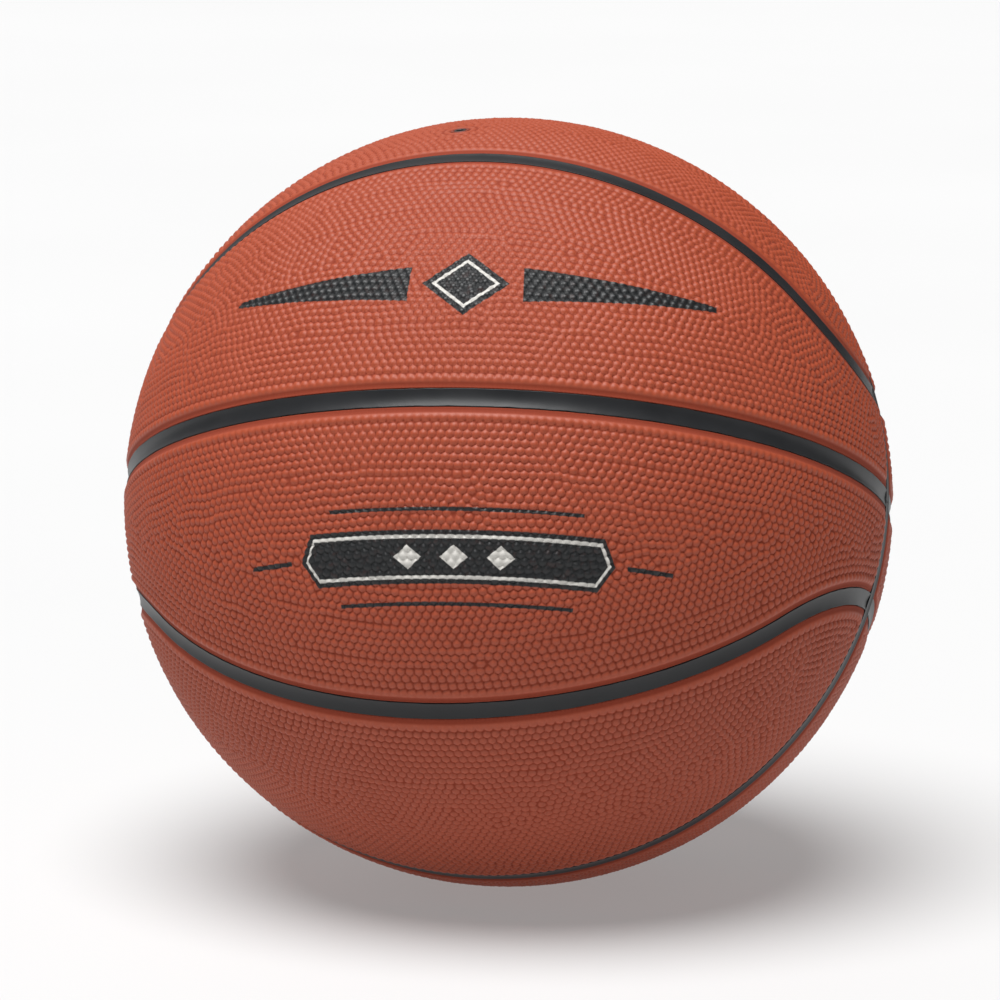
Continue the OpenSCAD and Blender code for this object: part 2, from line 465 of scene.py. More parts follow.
def smooth_step(share):
    share = np.clip(share, 0, 1)
    return share * share * (3 - 2 * share)


def sheet_radius(distance):
    rise = smooth_step((distance - LIP_W) / SHOULDER_W)
    sunk = smooth_step((distance - LIP_W - SHOULDER_W) / CREST_W)
    bead = np.clip(1 - ((distance - BEAD_PLACE) / BEAD_W) ** 2, 0, 1)
    return LIP_R + (CREST_R - LIP_R) * rise - (CREST_R - GROUND_R) * sunk + BEAD_H * bead


print("the shoulder rises", round((CREST_R - LIP_R) / MM, 2), "mm from its lip")

# %% [markdown]
# ## Points for a moulded surface
#
# The pebbles aren't stuck on: they are bumps in the one surface of the panel. A bump looks
# round when the mesh has points in the right places, which are its top, its slopes, and the
# grooves and pits between it and its neighbours. All of them are found by joining the
# pebbles' middles into triangles and cutting each triangle into sixteen.

# %% Points of the skin
SPLIT = 4
LINE_SPACING = 1.25 * MM
GROUND_SPACING = 5.5 * MM
LONGEST_SIDE = 1.7 * PITCH
SHOULDER_LINES = np.array([0.14, 0.28, 0.45, 0.7, 1.05, 1.45]) * MM


def skin_points(kind, centres, with_valve):
    flat, faces = triangles(to_map(kind, centres))
    corners = from_map(kind, flat)[faces]
    sides = np.linalg.norm(corners - np.roll(corners, 1, axis=1), axis=2).max(1) * BALL_R
    middles = corners.mean(1) / np.linalg.norm(corners.mean(1), axis=1)[:, None]
    keep = sides < LONGEST_SIDE
    if with_valve:
        keep &= valve_distance(middles) > VALVE_ROW - PITCH / 2
    corners = corners[keep]
    shares = [(i, j, SPLIT - i - j) for i in range(SPLIT + 1) for j in range(SPLIT + 1 - i)]
    shares = np.array(shares + [(SPLIT / 3, SPLIT / 3, SPLIT / 3)]) / SPLIT
    points = np.einsum("ts,nsd->ntd", shares, corners).reshape(-1, 3)
    points /= np.linalg.norm(points, axis=1)[:, None]
    return np.unique(points.round(8), axis=0)


print("each triangle between pebbles is cut into", SPLIT ** 2)

# %% [markdown]
# The points are joined into triangles once more. The skin and the smooth inner side of the
# sheet share the same outline, so a row of walls between the two closes the mesh.

# %% Mesh of one sheet
EDGE_SLACK = 1e-7
HOLE_SLACK = 1e-5


def joined(kind, loops, loose):
    """Directions and triangles of a sheet that fills these loops, with loose points in it."""
    flat = to_map(kind, np.vstack(loops + loose))
    edges, start = [], 0
    for loop in loops:
        edges += [(start + i, start + (i + 1) % len(loop)) for i in range(len(loop))]
        start += len(loop)
    flat, faces = triangles(flat, edges)
    directions = from_map(kind, flat)
    middles = directions[faces].mean(1)
    middles /= np.linalg.norm(middles, axis=1)[:, None]
    inside = edge_distance(kind, middles) > -EDGE_SLACK
    if len(loops) > 1:
        inside &= valve_distance(middles) > NECK_HOLE_R - HOLE_SLACK
    return directions, faces[inside]


def sheet_mesh(kind, with_valve):
    """Points and faces of the upper front panel of this kind, and how many are its skin."""
    outline = level_line(kind, 0, LINE_SPACING)
    centres = places[kind, with_valve]
    loose = [level_line(kind, line, LINE_SPACING) for line in SHOULDER_LINES]
    loose += [level_line(kind, FIRST_ROW - PITCH * k / SPLIT, PITCH / SPLIT) for k in (2, 1)]
    loops, under = [outline], even_directions(GROUND_SPACING)
    under = under[edge_distance(kind, under) > GROUND_SPACING / 2]
    if with_valve:
        loops.append(ring_points(NECK_HOLE_R))
        loose += [ring_points(RING_R + RING_W * k) for k in RING_LINES]
        under = under[valve_distance(under) > NECK_HOLE_R + GROUND_SPACING / 2]
    top, top_faces = joined(kind, loops, loose + [skin_points(kind, centres, with_valve)])
    under, under_faces = joined(kind, loops, [under])
    radius = sheet_radius(edge_distance(kind, top))
    if with_valve:
        radius += ring_height(valve_distance(top))
    sides = np.vstack([top_faces[:, [0, 1]], top_faces[:, [1, 2]], top_faces[:, [2, 0]]])
    known = {tuple(side) for side in sides.tolist()}
    walls = [(b, a, a + len(top), b + len(top)) for a, b in known if (b, a) not in known]
    points = np.vstack([top * radius[:, None], under * PANEL_IN_R, centres * GROUND_R])
    faces = top_faces.tolist() + (under_faces[:, ::-1] + len(top)).tolist() + walls
    return points, faces, len(top)


sheets = {}
for kind, with_valve in KINDS:
    sheets[kind, with_valve] = sheet_mesh(kind, with_valve)
    print(kind, "sheet, valve", with_valve, ":", len(sheets[kind, with_valve][1]), "faces")

# %% [markdown]
# ## Sums of sockets
#
# A node tree is easier to read as a sum. This small class wraps a socket, so that ordinary
# Python signs add Math nodes. Every other node comes from one method.

# %% Node helper
class Value:
    """A socket that can stand in a sum."""

    def __init__(self, graph, socket):
        self.graph, self.socket = graph, socket

    def __getitem__(self, name):
        return Value(self.graph, self.socket.node.outputs[name])

    def math(self, operation, *others):
        return self.graph.node("ShaderNodeMath", {"operation": operation},
                               dict(enumerate((self, *others))))

    def __add__(self, other):
        return self.math("ADD", other)

    def __sub__(self, other):
        return self.math("SUBTRACT", other)

    def __rsub__(self, other):
        return (self * -1) + other

    def __mul__(self, other):
        return self.math("MULTIPLY", other)

    def __truediv__(self, other):
        return self.math("DIVIDE", other)

    def __pow__(self, other):
        return self.math("POWER", other)

    __radd__, __rmul__ = __add__, __mul__

    def scaled(self, size):
        """This vector made longer or shorter."""
        return self.graph.node("ShaderNodeVectorMath", {"operation": "SCALE"},
                               {0: self, "Scale": size})

    def between(self, low, high):
        """Rises smoothly from 0 at low to 1 at high."""
        return self.graph.node("ShaderNodeMapRange", {"interpolation_type": "SMOOTHSTEP"},
                               {"Value": self, "From Min": low, "From Max": high})


class Graph:
    """A node tree and the one way nodes are added to it."""

    def __init__(self, tree):
        self.tree = tree

    def node(self, kind, settings=None, inputs=None, output=0):
        made = self.tree.nodes.new(kind)
        for name, value in (settings or {}).items():
            setattr(made, name, value)
        for name, value in (inputs or {}).items():
            if isinstance(value, Value):
                self.tree.links.new(value.socket, made.inputs[name])
            else:
                made.inputs[name].default_value = value
        return Value(self, made.outputs[output]) if len(made.outputs) else made

    def noise(self, where, scale, detail=2.0, output="Fac"):
        return self.node("ShaderNodeTexNoise", {}, {"Vector": where, "Scale": scale,
                                                    "Detail": detail}, output)

    def vector(self, operation, *vectors, output=0):
        return self.node("ShaderNodeVectorMath", {"operation": operation},
                         dict(enumerate(vectors)), output)

    def bump(self, height, strength, depth):
        return self.node("ShaderNodeBump", {}, {"Height": height, "Strength": strength,
                                                "Distance": depth}, "Normal")

    def mix(self, factor, first, second):
        """A colour between two colours."""
        made = self.node("ShaderNodeMix", {"data_type": "RGBA"}, {"Factor": factor})
        mixer = made.socket.node
        for socket, value in ((mixer.inputs[6], first), (mixer.inputs[7], second)):
            if isinstance(value, Value):
                self.tree.links.new(value.socket, socket)
            else:
                socket.default_value = (*value, 1)
        return Value(self, mixer.outputs[2])


def material(name, paint, **constants):
    """A material whose paint function returns what feeds the shader."""
    made = bpy.data.materials.new(name)
    made.use_nodes = True
    shader = made.node_tree.nodes["Principled BSDF"]
    for socket, value in constants.items():
        shader.inputs[socket.replace("_", " ")].default_value = value
    graph = Graph(made.node_tree)
    where = graph.node("ShaderNodeTexCoord", {}, {}, "Object")
    for socket, value in paint(graph, where).items():
        made.node_tree.links.new(value.socket, shader.inputs[socket])
    print(name, "is painted by", len(made.node_tree.nodes), "nodes")
    return made


# %% [markdown]
# ## The cover's rubber
#
# The cover is an orange-brown rubber with a fine grain. The tops of the pebbles are a
# little smoother, because hands polish them. The ground between them is darker: painted
# shade, with some dirt. The distance from the ball's centre says how high a point lies.

# %% Cover material
RUBBER, PALER_RUBBER = (0.325, 0.055, 0.021), (0.385, 0.069, 0.028)
WORN, GROOVE_DIRT_AND_SHADE = (0.45, 0.10, 0.05), (0.19, 0.020, 0.005)
COVER_GLOSS = 0.4


def paint_cover(graph, where):
    radius = graph.vector("LENGTH", where, output="Value")
    height = radius.between(GROUND_R, CREST_R)
    patches = graph.noise(where, 14, 3)
    specks = graph.noise(where, 900, 2)
    rubber = graph.mix(patches, RUBBER, PALER_RUBBER)
    worn = graph.mix(specks.between(0.45, 0.75) * 0.25, rubber, WORN)
    # Painted shade, with some dirt: the lower a point lies between the pebbles, the darker its
    # colour.
    colour = graph.mix((1 - height) * 0.7, worn, GROOVE_DIRT_AND_SHADE)
    return {"Base Color": colour, "Roughness": 0.85 - height * 0.36 + patches * 0.06,
            "Normal": graph.bump(graph.noise(where, 4200, 2), 0.25, 0.05 * MM)}


cover_rubber = material("cover_rubber", paint_cover, Specular_IOR_Level=COVER_GLOSS)

# %% [markdown]
# ## A plain print
#
# Black ink is printed over the pebbles of the two panels that face the viewer. The print is
# a plain one: a diamond between two tapering bars above the middle seam, and a long plate
# with a white keyline between thin rules below it. Each shape is a small sum of the
# distances along and above the seam, in millimetres, which says how far inside or outside
# the shape a point lies. The smaller of two such sums joins their shapes.

# %% Printed cover material
PRINT_SIDE = 8
INK_EDGE = 0.2
DIAMOND_UP, DIAMOND_HALF, SQUEEZE = 37, 11, 0.8
KEY_IN, KEY_HALF = 3, 0.6
BAR_HALF, BAR_TAPER, BAR_START, BAR_END = 7.5, 0.08, 18, 82
PLATE_DOWN, PLATE_HALF, PLATE_END, PLATE_SLANT = 47, 8, 52, 0.6
KEYLINE_IN, KEYLINE_HALF = 2, 0.5
STUD_STEP, STUD_HALF = 15, 3.6
DASH_HALF, DASH_START, DASH_END = 0.7, 56, 72
RULE_OUT, RULE_HALF, RULE_END = 14, 0.6, 40
BLACK_INK, WHITE_INK = (0.012, 0.013, 0.014), (0.62, 0.60, 0.56)


def ink(distance):
    """1 where the distance is below zero, with a soft edge."""
    return distance.between(INK_EDGE, -INK_EDGE)


def print_masks(graph, where):
    seams = graph.node("ShaderNodeMapping", {}, {"Vector": where, "Rotation":
                                                 LIE.inverted().to_euler()})
    parts = graph.node("ShaderNodeSeparateXYZ", {}, {0: seams})
    along = parts["X"].math("ARCTAN2", parts["Y"] * -1) * (BALL_R / MM) - PRINT_SIDE
    above = (parts["Z"] / BALL_R).math("ARCSINE") * (BALL_R / MM)
    away = along.math("ABSOLUTE")
    upper = (above - DIAMOND_UP).math("ABSOLUTE")
    lower = (above + PLATE_DOWN).math("ABSOLUTE")
    diamond = away * SQUEEZE + upper - DIAMOND_HALF
    key = (diamond + KEY_IN).math("ABSOLUTE") - KEY_HALF
    bars = (upper + away * BAR_TAPER - BAR_HALF).math("MAXIMUM", BAR_START - away)
    bars = bars.math("MAXIMUM", away - BAR_END)
    plate = (lower - PLATE_HALF).math("MAXIMUM", away + lower * PLATE_SLANT - PLATE_END)
    keyline = (plate + KEYLINE_IN).math("ABSOLUTE") - KEYLINE_HALF
    beside = (away - STUD_STEP).math("ABSOLUTE").math("MINIMUM", away)
    studs = beside * SQUEEZE + lower - STUD_HALF
    dashes = (lower - DASH_HALF).math("MAXIMUM", DASH_START - away)
    dashes = dashes.math("MAXIMUM", away - DASH_END)
    rules = ((lower - RULE_OUT).math("ABSOLUTE") - RULE_HALF).math("MAXIMUM", away - RULE_END)
    black = diamond
    for shape in (bars, plate, dashes, rules):
        black = black.math("MINIMUM", shape)
    white = key.math("MINIMUM", keyline).math("MINIMUM", studs)
    return ink(black), ink(white)


def paint_printed_cover(graph, where):
    sockets = paint_cover(graph, where)
    black, white = print_masks(graph, where)
    thin = graph.noise(where, 500, 3).between(0.2, 0.5) * 0.05 + 0.95
    inked = graph.mix(black * thin, sockets["Base Color"], BLACK_INK)
    colour = graph.mix(white * thin, inked, WHITE_INK)
    return {"Base Color": colour, "Roughness": sockets["Roughness"] - black * 0.08,
            "Normal": sockets["Normal"]}


printed_cover = material("printed_cover", paint_printed_cover, Specular_IOR_Level=COVER_GLOSS)

# %% [markdown]
# ## Raising the pebbles
#
# The sheet arrives smooth, with one loose point at the middle of each pebble. The node tree
# takes the loose points out, measures how far each point of the skin lies from the nearest
# of them, and lifts it by a rounded profile. No two pebbles are quite as high.

# %% Start and end of a tree
def tree_with_inputs(name, inputs):
    tree = bpy.data.node_groups.new(name, "GeometryNodeTree")
    tree.interface.new_socket("Geometry", in_out="INPUT", socket_type="NodeSocketGeometry")
    tree.interface.new_socket("Geometry", in_out="OUTPUT", socket_type="NodeSocketGeometry")
    for label, kind in inputs.items():
        tree.interface.new_socket(label, in_out="INPUT", socket_type="NodeSocket" + kind)
    return tree


def ended(graph, given, geometry):
    """The tree of a graph, which ends in real, smooth geometry with its material."""
    smooth = graph.node("GeometryNodeSetShadeSmooth", {}, {"Geometry": geometry})
    real = graph.node("GeometryNodeRealizeInstances", {}, {"Geometry": smooth})
    done = graph.node("GeometryNodeSetMaterial", {}, {"Geometry": real,
                                                     "Material": given["Material"]})
    graph.node("NodeGroupOutput", {}, {"Geometry": done})
    return graph.tree


# %% Pebble tree
DOME = 2.5


def pebble_tree():
    tree = tree_with_inputs("pebbles", {"Height": "Float", "Reach": "Float", "Ball": "Float",
                                        "Skin Points": "Int", "Variation": "Float",
                                        "Seed": "Int", "Material": "Material"})
    graph = Graph(tree)
    given = graph.node("NodeGroupInput")
    faces = graph.node("GeometryNodeInputMeshVertexNeighbors", {}, {}, "Face Count")
    loose = graph.node("FunctionNodeCompare", {"data_type": "INT", "operation": "EQUAL"},
                       {2: faces, 3: 0})
    split = graph.node("GeometryNodeSeparateGeometry", {"domain": "POINT"},
                       {"Geometry": given, "Selection": loose})
    middles = graph.node("GeometryNodeMeshToPoints", {}, {"Mesh": split})
    position = graph.node("GeometryNodeInputPosition")
    out = graph.vector("NORMALIZE", position)
    on_ground = out.scaled(given["Ball"] - given["Height"])
    away = graph.node("GeometryNodeProximity", {"target_element": "POINTS"},
                      {0: middles, "Sample Position": on_ground}, "Distance")
    nearest = graph.node("GeometryNodeSampleNearest", {"domain": "POINT"},
                         {"Geometry": middles, "Sample Position": on_ground})
    size = graph.node("FunctionNodeRandomValue", {"data_type": "FLOAT"},
                      {2: 1 - given["Variation"], 3: 1.0, "ID": nearest,
                       "Seed": given["Seed"]}, 1)
    share = (away / given["Reach"]).math("MINIMUM", 1.0)
    room = given["Ball"] - graph.vector("LENGTH", position, output="Value")
    bump = (1 - share ** DOME) * size * room.math("MINIMUM", given["Height"])
    index = graph.node("GeometryNodeInputIndex")
    skin = graph.node("FunctionNodeCompare", {"data_type": "INT", "operation": "LESS_THAN"},
                      {2: index, 3: given["Skin Points"]})
    raised = graph.node("GeometryNodeSetPosition", {},
                        {"Geometry": split["Inverted"], "Selection": skin,
                         "Offset": out.scaled(bump)})
    return ended(graph, given, raised)


pebbles = pebble_tree()
print("the pebble tree has", len(pebbles.nodes), "nodes")

# %% [markdown]
# ## The eight panels
#
# Three sheets are enough for eight panels, because the seams look the same when the ball is
# turned over or swapped back to front. Each panel is a mirrored copy, turned the right way
# out again. A seed gives its pebbles other heights than the next panel of its kind has.

# %% Helper that grows a tree on a mesh
def new_mesh(name, points, faces):
    mesh = bpy.data.meshes.new(name)
    mesh.from_pydata([tuple(p) for p in points], [], faces)
    mesh.update()
    piece = bpy.data.objects.new(name, mesh)
    bpy.context.scene.collection.objects.link(piece)
    return piece


def grow(piece, tree, **inputs):
    """Runs a tree on a piece and keeps the result as its plain mesh."""
    modifier = piece.modifiers.new(tree.name, "NODES")
    modifier.node_group = tree
    sockets = {item.name: item.identifier for item in tree.interface.items_tree
               if item.item_type == "SOCKET" and item.in_out == "INPUT"}
    for label, value in inputs.items():
        modifier[sockets[label]] = value
    bpy.context.view_layer.update()
    evaluated = piece.evaluated_get(bpy.context.evaluated_depsgraph_get())
    grown = bpy.data.meshes.new_from_object(evaluated)
    piece.modifiers.remove(modifier)
    old, piece.data = piece.data, grown
    bpy.data.meshes.remove(old)
    grown.name = piece.name
    return piece


# %% The eight panels
REACH = 1.36 * MM
VARIATION = 0.14
PANELS = {"upper_front": (1, 1), "upper_back": (-1, 1), "lower_front": (1, -1),
          "lower_back": (-1, -1)}

for number, (where, (front, upper)) in enumerate(PANELS.items()):
    for kind in ("inner", "outer"):
        name = f"panel_{where}_{kind}"
        with_valve = name == "panel_upper_front_inner"
        printed = where.endswith("front") and kind == "outer"
        points, faces, skin = sheets[kind, with_valve]
        points = points * [1, front, upper] @ TO_BALL.T
        if front * upper < 0:
            faces = [face[::-1] for face in faces]
        piece = new_mesh(f"cover_{where}_{kind}", points, faces)
        grow(piece, pebbles, Height=PEBBLE_H, Reach=REACH, Ball=BALL_R, Variation=VARIATION,
             Seed=number, **{"Skin Points": skin},
             Material=printed_cover if printed else cover_rubber)
        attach(piece, "ball")
        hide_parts(name)
        count = sum(len(face.vertices) - 2 for face in piece.data.polygons)
        print(piece.name, "has", count, "triangles")

# %% [markdown]
# ## The black strips
#
# A strip of black rubber lies at the bottom of every channel. Each one is a cylinder of 24
# sides that the tree bends along its seam. Round the cylinder, a steep curve turns the circle
# into a flat section with soft corners, and its top is a little hollow. Along the cylinder,
# the seam's own line says where each ring of points goes. Noise makes the edges a little
# ragged, as on strips that are laid by hand. The rubber is a smooth satin black with dusty
# smears, so the broad lamp draws a grey sheen along it.

# %% Strip material
STRIP_BLACK, STRIP_DUST = (0.012, 0.0125, 0.014), (0.026, 0.027, 0.029)


def paint_channel(graph, where):
    smears = graph.noise(where, 60, 3)
    return {"Base Color": graph.mix(smears, STRIP_BLACK, STRIP_DUST),
            "Roughness": 0.33 + smears * 0.14,
            "Normal": graph.bump(graph.noise(where, 1800, 2), 0.3, 0.04 * MM)}


channel_rubber = material("channel_rubber", paint_channel, Specular_IOR_Level=0.28)

# %% Strip tree
STRIP_SIDES = 24
FLAT_ACROSS, FLAT_UP = 2, 4
RAGGED_SCALE = 260


def strip_tree():
    tree = tree_with_inputs("strip", {"Width": "Float", "Top": "Float", "Under": "Float",
                                      "Hollow": "Float", "Ragged": "Float", "Segments": "Int",
                                      "Material": "Material"})
    graph = Graph(tree)
    given = graph.node("NodeGroupInput")
    bar = graph.node("GeometryNodeMeshCylinder", {"fill_type": "NGON"},
                     {"Vertices": STRIP_SIDES, "Side Segments": given["Segments"],
                      "Fill Segments": 1, "Radius": 1.0, "Depth": 1.0}, "Mesh")
    parts = graph.node("ShaderNodeSeparateXYZ", {}, {0: graph.node("GeometryNodeInputPosition")})
    across = (parts["X"] * FLAT_ACROSS).math("TANH") / tanh(FLAT_ACROSS)
    level = (parts["Y"] * FLAT_UP).math("TANH") / tanh(FLAT_UP) * 0.5 + 0.5
    seam = graph.node("GeometryNodeMeshToCurve", {}, {0: given})
    on_seam = graph.node("GeometryNodeSampleCurve", {"mode": "FACTOR", "use_all_curves": True},
                         {"Curves": seam, "Factor": parts["Z"] + 0.5}, "Position")
    out = graph.vector("NORMALIZE", on_seam)
    side = graph.vector("CROSS_PRODUCT", out, on_seam["Tangent"])
    edge = graph.vector("ADD", on_seam, side.scaled(across * given["Width"]))
    ragged = (graph.noise(edge, RAGGED_SCALE, 3) - 0.5) * given["Ragged"]
    wide = across * (given["Width"] / 2 + ragged)
    hollow = (1 - across * across) * level * given["Hollow"]
    high = given["Under"] + level * (given["Top"] - given["Under"]) - hollow
    upright = (high * high - wide * wide).math("SQRT")
    place = graph.vector("ADD", out.scaled(upright), side.scaled(wide))
    bent = graph.node("GeometryNodeSetPosition", {}, {"Geometry": bar, "Position": place})
    return ended(graph, given, bent)


strips = strip_tree()
print("the strip tree has", len(strips.nodes), "nodes")

# %% [markdown]
# Eight strips are laid: two over the crossing seam, two round the middle and one for each
# half of a loop. Where strips meet they overlap a little, as they are pressed together when
# the cover is cured.

# %% Lines of the seams
STRIP_W = 5.4 * MM
STRIP_TOP = 119.25 * MM
STRIP_UNDER = 118.05 * MM
HOLLOW = 0.5 * MM
RAGGED = 0.5 * MM
OVERLAP = 0.3 * MM
STOP = STRIP_W / 2 - OVERLAP
STEPS = 240
ON_LOOP = 1e-9


def middle_line():
    stop = STOP / BALL_R
    turns = np.linspace(-pi + stop, -stop, STEPS)
    return np.stack([np.cos(turns), np.sin(turns), 0 * turns], 1)


def cross_line():
    turns = np.linspace(0, pi, STEPS)
    return np.stack([np.cos(turns), 0 * turns, np.sin(turns)], 1)


def loop_line():
    """The front half of the upper loop, from its right end to its left end."""
    turns = np.linspace(0, 2 * pi, LOOKS)
    line = []
    for axis, lean in ((end_axis, LOOP_END), (front_side_axis, pi / 2),
                       (end_axis * [-1, 1, 1], LOOP_END)):
        circle = circle_round(axis, lean, turns)
        line.append(circle[(np.abs(outside_loop(circle)) < ON_LOOP) & (circle[:, 2] > 0)])
    line = np.vstack(line)
    line = line[line[:, 1] < -sin(STOP / BALL_R)]
    line = line[np.argsort(np.arctan2(line[:, 0], -line[:, 1] - sin(LOOP_SIDE) / 2))[::-1]]
    steps = np.linalg.norm(np.diff(line, axis=0), axis=1)
    along = np.concatenate([[0], np.cumsum(steps)])
    even = np.linspace(0, along[-1], STEPS)
    return np.stack([np.interp(even, along, line[:, i]) for i in range(3)], 1)


def strip_piece(name, line):
    piece = bpy.data.objects.new(name, bpy.data.meshes.new(name))
    points = line * BALL_R @ TO_BALL.T
    piece.data.from_pydata([tuple(p) for p in points],
                           [(i, i + 1) for i in range(len(points) - 1)], [])
    bpy.context.scene.collection.objects.link(piece)
    grow(piece, strips, Width=STRIP_W, Top=STRIP_TOP, Under=STRIP_UNDER, Hollow=HOLLOW,
         Ragged=RAGGED, Segments=3 * STEPS, Material=channel_rubber)
    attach(piece, "ball")
    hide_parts("channel_" + name.removeprefix("strip_"))
    return piece


for upper, height in (("upper", 1), ("lower", -1)):
    strip_piece("strip_cross_" + upper, cross_line() * [1, 1, height])
for front, depth in (("front", 1), ("back", -1)):
    strip_piece("strip_middle_" + front, middle_line() * [1, depth, 1])
    for upper, height in (("upper", 1), ("lower", -1)):
        strip_piece("strip_loop_" + upper + "_" + front, loop_line() * [1, depth, height])
loop_steps = np.linalg.norm(np.diff(loop_line(), axis=0), axis=1) * BALL_R
print("a loop's strip is", round(float(loop_steps.sum() / MM)), "mm long")

# %% [markdown]
# ## The valve
#
# The valve is two pieces of rubber. The housing is a tube with a broad flange, which sits
# under the bladder's patch, and a neck that ends in the cover. The plug fills the tube, and
# the inflating needle goes through its small hole. Both are round, so both are turned: an
# outline of radius and height is carried round the valve's axis.

# %% Turned pieces
PLUG_R = 1.95 * MM
TUBE_R = 2.0 * MM
NECK_R = 2.9 * MM
STEM_R = 4.0 * MM
NEEDLE_R = 1.05 * MM
FLANGE_R = 12.0 * MM
FLANGE_TOP = 115.75 * MM
FLANGE_UNDER = 114.95 * MM
VALVE_SUNK = 0.5 * MM
VALVE_TOP = BALL_R - VALVE_SUNK
PLUG_L = 14 * MM
BELOW_PLUG = 1.5 * MM
STEM_END = VALVE_TOP - PLUG_L - BELOW_PLUG
SOFT = 0.3 * MM
SHARP = radians(50)


def rounded(corner_r, corner_h, from_turn, to_turn, radius=SOFT, count=5):
    """Points of a round corner in an outline."""
    return [(corner_r + radius * cos(t), corner_h + radius * sin(t))
            for t in np.linspace(from_turn, to_turn, count)]


def on_sphere(sphere, r):
    return r, sqrt(sphere ** 2 - r ** 2)


def turned_piece(name, outline, finish, body, node, sides=VALVE_SIDES):
    turns = np.linspace(0, 2 * pi, sides, endpoint=False)[:, None]
    side = np.cross(valve_axis, [1.0, 0, 0])
    side /= np.linalg.norm(side)
    round_about = np.cos(turns) * side + np.sin(turns) * np.cross(valve_axis, side)
    points = [valve_axis * h + round_about * r for r, h in outline]
    points = np.vstack(points) @ TO_BALL.T
    rows = len(outline)
    faces = [(i * sides + j, i * sides + (j + 1) % sides,
              (i + 1) % rows * sides + (j + 1) % sides, (i + 1) % rows * sides + j)
             for i in range(rows) for j in range(sides)]
    piece = new_mesh(name, points, faces)
    piece.data.shade_smooth()
    piece.data.set_sharp_from_angle(angle=SHARP)
    piece.data.materials.append(finish)
    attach(piece, body)
    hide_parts(node)
    return piece


# %% [markdown]
# Inside the ball the valve is plain black rubber. Where its neck shows in the cover, it was
# pressed in the cover's mould and took the cover's colour, with a little black left in it.

# %% Valve finishes
COVER_UNDER, COVER_OVER = 117.6 * MM, 118.0 * MM
VALVE_BLACK, NECK_RED, VALVE_DUST = (0.02, 0.02, 0.02), (0.24, 0.035, 0.014), (0.05, 0.03, 0.025)
PLUG_BLACK, PLUG_DUST = (0.014, 0.012, 0.012), (0.035, 0.026, 0.024)


def paint_valve(graph, where):
    radius = graph.vector("LENGTH", where, output="Value")
    in_cover = radius.between(COVER_UNDER, COVER_OVER)
    cloud = graph.noise(where, 400, 3)
    colour = graph.mix(in_cover, VALVE_BLACK, NECK_RED)
    return {"Base Color": graph.mix(cloud * 0.3, colour, VALVE_DUST),
            "Roughness": 0.5 + cloud * 0.2,
            "Normal": graph.bump(graph.noise(where, 3000, 2), 0.3, 0.04 * MM)}


def paint_plug(graph, where):
    cloud = graph.noise(where, 600, 3)
    return {"Base Color": graph.mix(cloud, PLUG_BLACK, PLUG_DUST),
            "Roughness": 0.45 + cloud * 0.2,
            "Normal": graph.bump(graph.noise(where, 5000, 2), 0.3, 0.03 * MM)}


valve_rubber = material("valve_rubber", paint_valve)
plug_rubber = material("plug_rubber", paint_plug)

# %% Housing and plug
STEM_TOP = FLANGE_UNDER - 1.5 * MM
FILLET, FILLET_DROP = 1.2 * MM, 1.3 * MM
NECK_TOP = VALVE_TOP - 0.5 * MM

housing = [(TUBE_R, STEM_END), *rounded(STEM_R - SOFT, STEM_END + SOFT, -pi / 2, 0),
           (STEM_R, STEM_TOP),
           *rounded(STEM_R + FILLET, FLANGE_UNDER - FILLET_DROP, pi, pi / 2, FILLET),
           *[on_sphere(FLANGE_UNDER, FLANGE_R * k) for k in (0.6, 0.8, 0.97)],
           *[on_sphere(FLANGE_TOP, FLANGE_R * k) for k in (1, 0.9, 0.75, 0.5)],
           (NECK_R, FLANGE_TOP), (NECK_R, NECK_TOP),
           *rounded(NECK_R - SOFT, VALVE_TOP - SOFT, 0, pi / 2),
           *rounded(TUBE_R + SOFT, VALVE_TOP - SOFT, pi / 2, pi)]
plug_end = VALVE_TOP - PLUG_L
plug = [(NEEDLE_R, plug_end), *rounded(PLUG_R - SOFT, plug_end + SOFT, -pi / 2, 0),
        *rounded(PLUG_R - SOFT, VALVE_TOP - SOFT, 0, pi / 2),
        *rounded(NEEDLE_R + SOFT, VALVE_TOP - SOFT, pi / 2, pi)]
turned_piece("valve_body", housing, valve_rubber, "ball", "valve_housing")
turned_piece("needle_plug", plug, plug_rubber, "valve_plug", "valve_plug")
print("the plug is", round(PLUG_L / MM), "mm long and", round(2 * PLUG_R / MM, 1), "mm across")

# %% [markdown]
# ## The hidden layers
#
# Under the cover lie a thin carcass, the thread winding, the bladder and its patch. They
# keep the solids of the CAD model. The thread is laid in great circles that cross each
# other at every angle, so its finish is made of sets of parallel lines, each set round an
# axis of its own, and clouds say which set lies on top.

# %% Finishes of the layers
THREAD_SETS = 5
THREADS = 900
THREAD_SHADE, THREAD_PALE = (0.38, 0.34, 0.26), (0.82, 0.78, 0.68)


def paint_thread(graph, where):
    out = graph.vector("NORMALIZE", where)
    pick = np.random.default_rng(3)
    sets = []
    for number in range(THREAD_SETS):
        axis = Vector(pick.normal(size=3)).normalized()
        lean = graph.vector("DOT_PRODUCT", out, axis, output="Value")
        lines = (lean * THREADS).math("SINE") * 0.5 + 0.5
        sets.append(lines * graph.noise(out, 2.2 + 0.3 * number, 1))
    height = sets[0]
    for other in sets[1:]:
        height = height.math("MAXIMUM", other)
    return {"Base Color": graph.mix(height, THREAD_SHADE, THREAD_PALE),
            "Roughness": 0.75 - height * 0.15, "Normal": graph.bump(height, 0.8, 0.2 * MM)}


def paint_layer(low, high, scale, roughness):
    def paint(graph, where):
        cloud = graph.noise(where, scale, 4)
        return {"Base Color": graph.mix(cloud, low, high), "Roughness": roughness + cloud * 0.2,
                "Normal": graph.bump(graph.noise(where, scale * 20, 2), 0.3, 0.05 * MM)}
    return paint


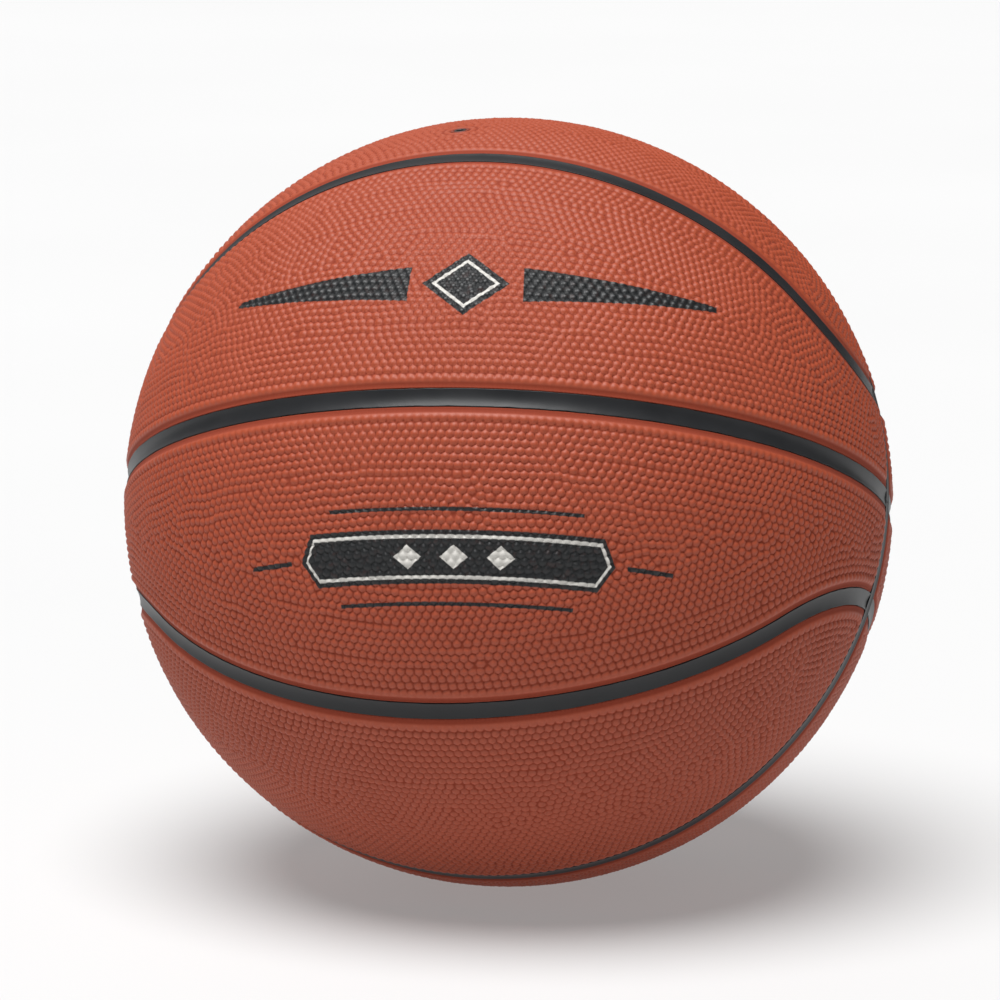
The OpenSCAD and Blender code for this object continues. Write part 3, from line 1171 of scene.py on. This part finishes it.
finishes = {
    "wound_thread": material("wound_thread", paint_thread),
    "carcass_rubber": material("carcass_rubber", paint_layer((0.07, 0.055, 0.045),
                                                             (0.12, 0.1, 0.08), 40, 0.6)),
    "bladder_rubber": material("bladder_rubber", paint_layer((0.03, 0.03, 0.032),
                                                             (0.07, 0.07, 0.072), 30, 0.35))}
node_slot = {row["node"]: row["material_slot"] for row in frame["record"]["subparts"]}
for name, node in frame["nodes"].items():
    if node_slot[name] in finishes:
        for holder in node.material_slots:
            holder.material = finishes[node_slot[name]]

# %% [markdown]
# ## Floor and light
#
# The ball was photographed over a bright ground that throws light back on its underside. So
# the floor is a light table: a pale sheet, lit softly from below, on which the shadow stays
# faint. Above it hangs one very broad lamp, a little to the left and in front. A faint second
# one behind the ball keeps its far edge from going black.

# %% Floor
TABLE_GLOW = 0.27
TABLE_GREY, TABLE_PALE = (0.43, 0.43, 0.43), (0.45, 0.45, 0.45)
FLOOR_R = 14.0
FLOOR_SIDES = 96


def paint_floor(graph, where):
    cloud = graph.noise(where, 3, 2)
    return {"Base Color": graph.mix(cloud, TABLE_GREY, TABLE_PALE),
            "Roughness": 0.8 + cloud * 0.05}


floor = new_mesh("floor", [(FLOOR_R * cos(turn), FLOOR_R * sin(turn), -BALL_R)
                           for turn in np.linspace(0, 2 * pi, FLOOR_SIDES, endpoint=False)],
                 [tuple(range(FLOOR_SIDES))])
floor.data.materials.append(material("floor", paint_floor, Emission_Strength=1.0,
                                     Emission_Color=(TABLE_GLOW, TABLE_GLOW, TABLE_GLOW, 1)))

# %% Light
def far_light(name, towards, softness, strength):
    data = bpy.data.lights.new(name, "SUN")
    data.angle, data.energy = radians(softness), strength
    lamp = bpy.data.objects.new(name, data)
    lamp.rotation_euler = (-Vector(towards)).to_track_quat("-Z", "Y").to_euler()
    bpy.context.scene.collection.objects.link(lamp)
    print("the", name, "lamp is", softness, "degrees wide, with strength", strength)


far_light("key", (-0.14, -0.24, 0.96), 44, 4.9)
far_light("back", (-0.4, 1.0, 0.5), 60, 0.3)
world = bpy.data.worlds.new("studio")
world.use_nodes = True
world.node_tree.nodes["Background"].inputs["Color"].default_value = (1, 1, 1, 1)
world.node_tree.nodes["Background"].inputs["Strength"].default_value = 0.06
bpy.context.scene.world = world
bpy.context.scene.view_settings.view_transform = "Standard"
